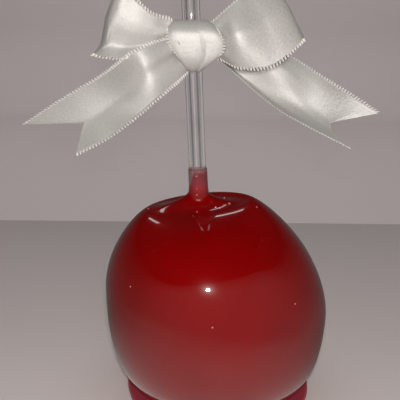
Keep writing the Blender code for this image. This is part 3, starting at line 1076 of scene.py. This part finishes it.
@dataclass
class RibbonBow:
    """Bow of 25 mm double-faced satin with looped selvedges, tied before the stick.

    Each stretch runs on into the knot by root_share of the way to the knot's middle, and
    its folds there are those of gathers.  Its rows lie a step apart, each square to the
    direction that its runs take over a share of look on either side.  A row's folds are
    rounded over crease_steps of its fine_steps.
    """

    width: float = 25.0
    thickness: float = 0.3
    step: float = 0.7
    look: float = 0.01
    knot: KnotWrap = KnotWrap()
    root_share: float = 0.45
    gathers: tuple = (0.0, 6.5, 0.0, -6.0, 0.0, 6.0, 0.0)
    fold_scales: tuple = (0.3, 1.0)
    fold_tries: int = 18
    fine_steps: int = 96
    crease_steps: int = 8
    notch: float = 11.5
    notch_power: int = 6
    smooth_angle: float = 60.0
    picot_step: float = 1.05
    picot_reach: float = 1.2
    picot_width: float = 0.2
    picot_turns: int = 6
    thread: float = 0.14
    thread_sides: int = 4
    left_loop: Stretch = Stretch(
        upper=((-18.0, -11.5, 138.5), (-23.5, -13.5, 140.0), (-29.0, -14.5, 144.5), (-33.0, -14.0, 149.5),
               (-32.5, -4.0, 149.0), (-26.5, 5.0, 140.0), (-19.5, 1.0, 137.0)),
        lower=((-18.0, -11.5, 131.5), (-24.5, -14.0, 129.5), (-34.0, -15.5, 127.5), (-42.0, -13.5, 128.5),
               (-41.5, -2.5, 127.5), (-29.5, 5.0, 128.5), (-19.5, 1.0, 131.0)),
        folds=((0.0, 0.4, 0.4, -0.2, -0.9, -1.2, 0.0), (0.0, 0.1, 0.1, -0.6, -1.9, -2.9, 0.0),
               (0.0, 0.0, 0.0, -0.9, -2.9, -4.6, 0.0), (0.0, 0.1, 0.1, -0.4, -1.8, -2.8, 0.0),
               (0.0, 0.9, 1.3, 1.3, 1.1, 0.7, 0.0), (0.0, 4.0, 0.6, -2.5, 0.6, 3.4, 0.0),
               (0.0, 6.0, 0.0, -5.5, 0.0, 5.5, 0.0)),
        end=RibbonEnd.LOOPED,
    )
    right_loop: Stretch = Stretch(
        upper=((-5.0, -9.0, 138.0), (-0.5, -8.5, 142.0), (4.5, -8.0, 146.4), (9.9, -6.0, 152.4),
               (10.0, 3.0, 151.5), (0.5, 6.5, 141.5), (-5.0, 1.0, 136.5)),
        lower=((-1.5, -10.5, 127.0), (4.0, -13.0, 125.0), (14.0, -14.4, 126.1), (23.3, -12.0, 133.6),
               (23.0, -1.0, 132.5), (10.5, 7.0, 127.5), (-2.5, 1.0, 128.0)),
        folds=((0.0, -1.3, -0.9, 0.9, 0.4, -1.3, 0.0), (0.0, -2.2, -4.2, -5.6, -4.4, -2.4, 0.0),
               (0.0, -1.6, -3.2, -4.4, -3.2, -1.8, 0.0), (0.0, -0.9, -1.8, -2.4, -1.8, -0.9, 0.0),
               (0.0, 0.9, 1.8, 2.2, 1.8, 0.9, 0.0), (0.0, 4.0, 0.6, -2.5, 0.6, 3.4, 0.0),
               (0.0, 6.0, 0.0, -5.5, 0.0, 5.5, 0.0)),
        end=RibbonEnd.LOOPED,
    )
    left_tail: Stretch = Stretch(
        upper=((-18.5, -11.5, 133.0), (-29.0, -16.5, 129.0), (-40.2, -10.5, 121.1), (-53.0, -11.0, 113.6),
               (-65.7, -13.0, 105.6)),
        lower=((-12.5, -9.5, 123.5), (-20.4, -18.0, 117.3), (-28.5, -21.0, 110.5), (-37.0, -25.5, 104.5),
               (-46.5, -26.5, 99.5)),
        folds=((0.0, 1.8, 1.1, -1.1, 1.1, 1.5, 0.0), (0.0, 0.3, 0.2, -1.4, -1.6, -1.0, 0.0),
               (0.0, -0.4, -0.9, -1.6, -1.0, -0.5, 0.0), (0.0, -0.7, -1.5, -2.4, -1.6, -0.8, 0.0),
               (0.0, -0.6, -1.2, -1.8, -1.2, -0.6, 0.0)),
        end=RibbonEnd.SWALLOW_TAIL,
    )
    right_tail: Stretch = Stretch(
        upper=((-3.5, 3.0, 133.5), (9.5, 8.0, 131.5), (22.0, 7.0, 127.0), (33.0, 3.5, 120.5),
               (42.5, -2.0, 114.8), (51.6, -6.0, 109.5)),
        lower=((-2.0, 2.0, 126.0), (7.0, 1.0, 118.5), (17.0, -5.0, 111.0), (26.0, -11.0, 106.5),
               (34.0, -16.0, 103.0), (39.5, -18.5, 100.5)),
        folds=((0.0, 3.5, 0.9, -2.2, 1.3, 3.1, 0.0), (0.0, -1.3, -3.1, -3.1, 0.9, 3.1, 0.0),
               (0.0, -1.3, -2.2, -0.9, 2.6, 3.9, 0.0), (0.0, 0.4, 1.5, 3.3, 4.0, 2.6, 0.0),
               (0.0, 1.8, 3.6, 5.2, 4.6, 2.6, 0.0), (0.0, 1.8, 3.8, 5.6, 4.8, 2.6, 0.0)),
        end=RibbonEnd.SWALLOW_TAIL,
    )
    clothes: list = field(default_factory=list)

    def fall(self, chord: float, heights: np.ndarray) -> tuple[np.ndarray, np.ndarray]:
        """Scale one row of folds, within fold_scales, so that it takes up the ribbon's width.

        Args:
            chord: Distance between the two edges.
            heights: The row's fold heights in even steps.

        Returns:
            Even steps across by length, as shares of the chord, and their heights.
        """
        fine = np.linspace(0, 1, self.fine_steps + 1)
        raised = np.interp(fine, np.linspace(0, 1, len(heights)), heights)
        padded = np.pad(raised, self.crease_steps, mode="reflect", reflect_type="odd")
        kernel = np.hanning(2 * self.crease_steps + 3)[1:-1]
        raised = np.convolve(padded, kernel / kernel.sum(), mode="valid")
        low, high = self.fold_scales
        for _ in range(self.fold_tries):
            scale = (low + high) / 2
            lengths = travelled(np.stack([fine * chord, raised * scale], axis=1))
            low, high = (scale, high) if lengths[-1] < self.width else (low, scale)
        columns = round(self.width / self.step)
        even = np.interp(np.linspace(0, lengths[-1], columns + 1), lengths, fine)
        return even, np.interp(even, fine, raised * scale)

    def drape(self, shape: Stretch) -> Cloth:
        """Work out the cloth of one stretch.

        Args:
            shape: Its edge runs and folds.

        Returns:
            Its points with their directions.
        """
        looped = shape.end is RibbonEnd.LOOPED
        middle = np.array(self.knot.middle)
        runs = []
        for run in (np.array(shape.upper), np.array(shape.lower)):
            first = run[0] + (middle - run[0]) * self.root_share
            last = run[-1] + (middle - run[-1]) * self.root_share
            runs.append(np.vstack([first, run] + ([last] if looped else [])))
        folds = np.array(shape.folds)
        folds = np.vstack([self.gathers, folds] + ([self.gathers] if looped else []))
        length = max(np.linalg.norm(np.diff(run, axis=0), axis=1).sum() for run in runs)
        rows = round(length / self.step)
        points = []
        for k in range(rows + 1):
            share = k / rows
            start, stop = run_point(runs[0], share), run_point(runs[1], share)
            ahead = sum(run_point(run, min(share + self.look, 1)) for run in runs)
            behind = sum(run_point(run, share - self.look) for run in runs)
            along = (ahead - behind) / np.linalg.norm(ahead - behind)
            chord = stop - start
            front = np.cross(along, chord)
            front /= np.linalg.norm(front)
            even, raised = self.fall(np.linalg.norm(chord), run_point(folds, share))
            back = 0.0 if looped else self.notch * share**self.notch_power
            centred = 1 - np.abs(2 * np.linspace(0, 1, len(even)) - 1)
            points.append(
                start + np.outer(even, chord) + np.outer(raised, front) - np.outer(centred * back, along)
            )
        return Cloth.through(np.array(points))

    def build_satin(self) -> bpy.types.Object:
        """Return the cloth of every stretch as one ribbon with real thickness."""
        points, faces, places = [], [], []
        for cloth in self.clothes:
            rows, columns = cloth.points.shape[:2]
            faces.extend(cloth.grid(len(points)))
            points.extend(cloth.points.reshape(-1, 3))
            gaps = np.linalg.norm(np.diff(cloth.points, axis=0), axis=2).mean(axis=1)
            distance = np.concatenate([[0], np.cumsum(gaps)]) / self.width
            places.extend((u, v / (columns - 1)) for u in distance for v in range(columns))
        ribbon = mesh_object("satin_ribbon", points, faces)
        layer = ribbon.data.uv_layers.new(name="ribbon")
        for loop in ribbon.data.loops:
            layer.data[loop.index].uv = places[loop.vertex_index]
        thickness = self.thickness * MM
        apply_modifier(ribbon, "SOLIDIFY", thickness=thickness, offset=0.0, use_even_offset=True)
        smooth(ribbon, self.smooth_angle)
        ribbon.data.materials.append(Satin(width_mm=self.width).make())
        LOG.info("ribbon: %d faces", len(ribbon.data.polygons))
        return ribbon

    def picot(self, middle: np.ndarray, ahead: np.ndarray, out: np.ndarray, up: np.ndarray) -> list:
        """Return one loop's rings of points, one after the other.

        Args:
            middle: The loop's place on the selvedge.
            ahead: Direction along the selvedge.
            out: Direction away from the cloth.
            up: Direction square to both.

        Returns:
            Its points, from one root over the top to the other.
        """
        points = []
        for turn in np.linspace(0, math.pi, self.picot_turns + 1):
            across, high = ahead * math.cos(turn), out * math.sin(turn)
            spine = middle + across * self.picot_width + high * self.picot_reach
            for angle in np.linspace(0, 2 * math.pi, self.thread_sides, endpoint=False):
                side = (across + high) * math.cos(angle) + up * math.sin(angle)
                points.append(spine + self.thread * side)
        return points

    def tube(self, first: int) -> list[tuple]:
        """Return the faces of one loop's thread, counted from its first vertex number."""
        count = self.thread_sides
        last = first + self.picot_turns * count
        faces = [
            (a + j, a + j + count, a + (j + 1) % count + count, a + (j + 1) % count)
            for a in range(first, last, count)
            for j in range(count)
        ]
        return [*faces, tuple(range(first, first + count)), tuple(reversed(range(last, last + count)))]

    def build_picots(self) -> bpy.types.Object:
        """Return the thread loops that stand along both selvedges."""
        points, faces = [], []
        for cloth in self.clothes:
            for edge, outward in ((0, -1.0), (-1, 1.0)):
                line = cloth.points[:, edge]
                out = cloth.across[:, edge] * outward
                guides = (line, cloth.along[:, edge], out, cloth.normals[:, edge])
                lengths = travelled(line)
                for place in np.arange(self.picot_step / 2, lengths[-1], self.picot_step):
                    faces.extend(self.tube(len(points)))
                    here = (
                        np.array([np.interp(place, lengths, values[:, k]) for k in range(3)])
                        for values in guides
                    )
                    points.extend(self.picot(*here))
        picots = mesh_object("picot_edge", points, faces)
        pick(picots)
        bpy.ops.object.mode_set(mode="EDIT")
        bpy.ops.mesh.select_all(action="SELECT")
        bpy.ops.mesh.normals_make_consistent(inside=False)
        bpy.ops.object.mode_set(mode="OBJECT")
        bpy.ops.object.shade_smooth()
        picots.data.materials.append(PicotThread().make())
        LOG.info("picots: %d faces", len(picots.data.polygons))
        return picots

    def build(self) -> list[bpy.types.Object]:
        """Return the ribbon and its selvedge loops."""
        shapes = (self.left_loop, self.right_loop, self.left_tail, self.right_tail)
        self.clothes = [self.drape(shape) for shape in shapes] + [self.knot.cloth()]
        ribbon, picots = self.build_satin(), self.build_picots()
        for piece in (ribbon, picots):
            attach(piece, "root")
            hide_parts("ribbon_bow")
        return [ribbon, picots]


# ================================================================ studio
@dataclass(frozen=True)
class Lamp:
    """One light: a flat panel, round where it is the small hard one."""

    name: str
    place: tuple
    aim: tuple
    size: tuple
    watts: float
    mirrored: bool = False
    colour: str = "FFFFFF"
    shape: str = "RECTANGLE"

    def build(self) -> bpy.types.Object:
        """Return the light, hidden from the camera itself."""
        data = bpy.data.lights.new(self.name, "AREA")
        data.shape = self.shape
        data.size, data.size_y = (side * MM for side in self.size)
        data.energy = self.watts
        data.color = linear(self.colour)[:3]
        lamp = into_scene(self.name, data)
        lamp.location = Vector(self.place) * MM
        facing = (Vector(self.aim) - Vector(self.place)).normalized()
        lamp.rotation_euler = facing.to_track_quat("-Z", "Y").to_euler()
        lamp.visible_camera = False
        lamp.visible_glossy = self.mirrored
        return lamp


class Rays(Enum):
    """The one kind of ray that shows a studio card."""

    GLOSS = "glossy"
    CLEAR = "transmission"


def show_only(card: bpy.types.Object, rays: Rays) -> None:
    """Hide a studio card from all rays but one kind."""
    for kind in ("camera", "diffuse", "shadow", *(each.value for each in Rays)):
        setattr(card, f"visible_{kind}", kind == rays.value)


def plane_card(name: str, middle: Vector, turn: tuple, size: tuple) -> bpy.types.Object:
    """Make a flat card.

    Args:
        name: Name of the new object.
        middle: Its middle, in millimetres.
        turn: Its turn from level, about X, Y and Z.
        size: Its two sides, in millimetres.

    Returns:
        The card, with no material yet.
    """
    deselect_all()
    bpy.ops.mesh.primitive_plane_add(size=1.0, location=middle * MM, rotation=turn)
    card = bpy.context.object
    card.name = name
    card.scale = (size[0] * MM, size[1] * MM, 1.0)
    settle(card)
    return card


@dataclass(frozen=True)
class MirrorCard:
    """Pale card that curves round the object and shows only in the gloss of the candy.

    Its top is highest before the object, a little to the right, and sinks to the floor
    at both sides.  It runs on over the floor as a ring, brightest close to the object.
    """

    radius: float = 330.0
    level: float = 58.0
    middle_rise: float = 4.7
    swing: float = 35.8
    peak_azimuth: float = 50.0
    pace_left: float = 0.67
    pace_right: float = 1.2
    near_radius: float = 37.0
    bright_radius: float = 100.0
    bright_soft: float = 12.0
    wall_glow: float = 0.34
    near_glow: float = 0.95
    rear_glow: float = 0.11
    rear_height: float = 240.0
    near_side: float = 0.35
    near_side_azimuth: float = 80.0
    skew: float = 14.0
    floor_skew: float = -10.0
    full_azimuth: float = 38.0
    rear_azimuth: float = 118.0
    fade: float = 0.35
    top_kept: float = 0.35
    least_top: float = 2.0
    floor_gap: float = 0.5
    spokes: int = 120
    wall_rows: int = 12
    floor_rows: int = 16
    colour: str = "FFF3EE"

    def top(self, azimuth: float) -> float:
        """Return the height of the top edge at an azimuth from the front, in degrees."""
        turn = azimuth - self.peak_azimuth
        turn *= self.pace_right if turn > 0 else self.pace_left
        rise = self.middle_rise + self.swing * math.cos(math.radians(turn))
        return max(self.level + self.radius * math.tan(math.radians(rise)), self.least_top)

    def rear_share(self, azimuth: float, near: float = 0.0) -> float:
        """Return how far a place belongs to the dim rear, from 0 to 1.

        Args:
            azimuth: Its azimuth from the front, in degrees.
            near: Its nearness to the object, from 0 to 1.

        Returns:
            The share, eased in and out.
        """
        middle = self.skew + (self.floor_skew - self.skew) * near
        turn = (abs(azimuth - middle) - self.full_azimuth) / (self.rear_azimuth - self.full_azimuth)
        turn = min(max(turn, 0.0), 1.0)
        return turn * turn * (3 - 2 * turn)

    def glow_at(self, azimuth: float, distance: float) -> float:
        """Return the floor's brightness at an azimuth and a distance from the object."""
        near = 1 / (1 + math.exp((distance - self.bright_radius) / self.bright_soft))
        sideways = min(abs(azimuth) / self.near_side_azimuth, 1.0)
        nearest = self.near_glow * (1 - self.near_side * sideways)
        bright = self.wall_glow + (nearest - self.wall_glow) * near
        return bright + (self.rear_glow - bright) * self.rear_share(azimuth, near)

    def build(self) -> bpy.types.Object:
        """Return the card, seen by mirror rays alone."""
        points, glows = [], []
        for spoke in range(self.spokes + 1):
            azimuth = -180 + 360 * spoke / self.spokes
            turn = math.radians(azimuth)
            out = Vector((math.sin(turn), -math.cos(turn), 0))
            for row in range(self.floor_rows + 1):
                share = (row / self.floor_rows) ** 2
                distance = self.near_radius + (self.radius - self.near_radius) * share
                points.append(out * distance + UP * self.floor_gap)
                glows.append(self.glow_at(azimuth, distance))
            rear = self.rear_share(azimuth)
            height = self.top(azimuth) * (1 - rear) + self.rear_height * rear
            for row in range(1, self.wall_rows + 1):
                share = row / self.wall_rows
                points.append(out * self.radius + UP * (self.floor_gap + height * share))
                fading = self.top_kept + (1 - self.top_kept) * min((1 - share) / self.fade, 1.0)
                kept = fading * (1 - rear) + (1 - share) * rear
                glows.append(self.glow_at(azimuth, self.radius) * kept)
        rows = self.floor_rows + self.wall_rows + 1
        faces = [
            (a, a + 1, a + rows + 1, a + rows)
            for spoke in range(self.spokes)
            for a in range(spoke * rows, spoke * rows + rows - 1)
        ]
        card = mesh_object("mirror_card", points, faces)
        glow = card.data.attributes.new(GLOW, "FLOAT", "POINT")
        glow.data.foreach_set("value", glows)
        card.data.materials.append(GlowingCard("glowing_card", self.colour).make())
        show_only(card, Rays.GLOSS)
        return card


@dataclass(frozen=True)
class MirrorShade:
    """Small dark card over the fruit that keeps the bow's image out of the candy."""

    place: tuple = (-8.0, -27.0, 100.0)
    size: tuple = (90.0, 44.0)
    colour: str = "000000"
    glow: float = 1.0

    def build(self) -> bpy.types.Object:
        """Return the card, seen by mirror rays alone."""
        card = plane_card("mirror_shade", Vector(self.place), (0, 0, 0), self.size)
        card.data.materials.append(GlowingCard("dark_card", self.colour, self.glow).make())
        show_only(card, Rays.GLOSS)
        return card


@dataclass(frozen=True)
class RodStrip:
    """Upright card behind the object, seen only through clear pieces.

    It stands at an angle from straight behind, so that it shows as a line in the rod.
    """

    name: str
    angle: float
    width: float
    glow: float
    distance: float = 290.0
    height: float = 300.0
    colour: str = "FFFAF6"

    def build(self) -> bpy.types.Object:
        """Return the card, seen by transmitted rays alone."""
        turn = math.radians(self.angle)
        middle = Vector((math.sin(turn), math.cos(turn), 0)) * self.distance + UP * self.height / 2
        card = plane_card(self.name, middle, (math.radians(90), 0, -turn), (self.width, self.height))
        card.data.materials.append(GlowingCard(self.name, self.colour, self.glow).make())
        show_only(card, Rays.CLEAR)
        return card


@dataclass
class Studio:
    """Pale sweep, soft light and the camera, a little above the bow."""

    camera_place: tuple = (-10.32, -204.28, 142.22)
    pitch: float = 17.916
    yaw: float = 0.643
    roll: float = 0.823
    lens: float = 53.11
    sensor: float = 36.0
    clip: tuple = (0.01, 20.0)
    floor_half: float = 1600.0
    sweep_y: float = 700.0
    sweep_radius: float = 120.0
    sweep_height: float = 780.0
    sweep_segments: int = 24
    lamps: tuple = (
        Lamp(
            "flash", (-9.0, -206.0, 155.0), (-5.0, 0.0, 100.0), (13.0, 13.0), 0.305, True, "FFFAF4", "DISK"
        ),
        Lamp("front_key", (60.0, -740.0, 300.0), (0.0, 0.0, 80.0), (500.0, 500.0), 0.9),
        Lamp("top_fill", (0.0, 0.0, 900.0), (0.0, 0.0, 0.0), (900.0, 900.0), 0.2),
        Lamp("wall_wash", (0.0, 250.0, 700.0), (0.0, 700.0, 250.0), (900.0, 300.0), 1.6),
        Lamp("crest_left", (-245.0, 520.0, 470.0), (-20.0, 0.0, 74.0), (30.0, 100.0), 0.028, True),
        Lamp("crest_right", (19.0, 552.0, 505.0), (0.0, 0.0, 75.0), (110.0, 45.0), 0.05, True),
    )
    rod_strips: tuple = (
        RodStrip("rod_line", 1.0, 10.0, 0.62),
        RodStrip("rod_dark_left", -17.0, 50.0, 0.16),
        RodStrip("rod_dark_right", 17.0, 50.0, 0.15),
        RodStrip("rod_pale_left", -48.0, 115.0, 0.42),
        RodStrip("rod_pale_right", 48.0, 115.0, 0.38),
    )
    ambient: float = 0.15
    mirrored_ambient: float = 0.01

    def build_sweep(self) -> bpy.types.Object:
        """Return the floor that turns up into a backdrop."""
        deselect_all()
        bpy.ops.mesh.primitive_plane_add(size=2 * self.floor_half * MM, location=(0, 0, 0))
        sweep = bpy.context.object
        sweep.name = "floor_sweep"
        settle(sweep)
        for vertex in sweep.data.vertices:
            if vertex.co.y > 0:
                vertex.co.y = self.sweep_y * MM

        def rear_fold(edge: bpy.types.MeshEdge) -> bool:
            """Tell whether an edge is the floor's far one, where the backdrop turns up."""
            ends = [sweep.data.vertices[v].co for v in edge.vertices]
            return all(end.y > 0 and end.z < MM for end in ends)

        edit_where(sweep.data.edges, rear_fold)
        bpy.ops.mesh.select_mode(type="EDGE")
        bpy.ops.mesh.extrude_edges_move(TRANSFORM_OT_translate={"value": (0, 0, self.sweep_height * MM)})
        bpy.ops.object.mode_set(mode="OBJECT")
        edit_where(sweep.data.edges, rear_fold)
        bpy.ops.mesh.bevel(offset=self.sweep_radius * MM, segments=self.sweep_segments, affect="EDGES")
        bpy.ops.object.mode_set(mode="OBJECT")
        bpy.ops.object.shade_smooth()
        sweep.data.materials.append(StudioCard().make())
        sweep.visible_glossy = False
        return sweep

    def build_world(self) -> None:
        """Give soft light from all round, which the candy mirrors only dimly."""
        world = bpy.data.worlds.new("studio_air")
        world.use_nodes = True
        tree = world.node_tree
        tree.nodes.clear()
        path = add_node(tree, "ShaderNodeLightPath")
        soft, dim = (
            add_node(tree, "ShaderNodeBackground", {"Color": linear("FFFFFF"), "Strength": strength})
            for strength in (self.ambient, self.mirrored_ambient)
        )
        chosen = add_node(
            tree,
            "ShaderNodeMixShader",
            links={0: path.outputs["Is Glossy Ray"], 1: soft.outputs[0], 2: dim.outputs[0]},
        )
        add_node(tree, "ShaderNodeOutputWorld", links={"Surface": chosen.outputs[0]})
        bpy.context.scene.world = world

    def build_camera(self) -> bpy.types.Object:
        """Return the camera at its own place and turn."""
        data = bpy.data.cameras.new("camera")
        data.lens, data.sensor_width = self.lens, self.sensor
        data.clip_start, data.clip_end = self.clip
        camera = into_scene("camera", data)
        turn = (
            Matrix.Rotation(math.radians(-self.yaw), 4, "Z")
            @ Matrix.Rotation(math.radians(90 - self.pitch), 4, "X")
            @ Matrix.Rotation(math.radians(self.roll), 4, "Z")
        )
        camera.matrix_world = Matrix.Translation(Vector(self.camera_place) * MM) @ turn
        bpy.context.scene.camera = camera
        return camera

    def build(self) -> None:
        """Set up the sweep, the lights, the air and the camera."""
        self.build_sweep()
        for lamp in self.lamps:
            lamp.build()
        for strip in self.rod_strips:
            strip.build()
        MirrorCard().build()
        MirrorShade().build()
        self.build_world()
        self.build_camera()
        bpy.context.scene.view_settings.view_transform = "Standard"
        LOG.info("studio: %d lamps", len(self.lamps))


def main() -> None:
    """Build the studio and the object, piece by piece."""
    logging.basicConfig(level=logging.INFO, format="%(name)s: %(message)s")
    Studio().build()
    stick = ClearStick()
    stick.build()
    CandiedFruit(stick).build()
    RibbonBow().build()


if __name__ == "__main__":
    main()
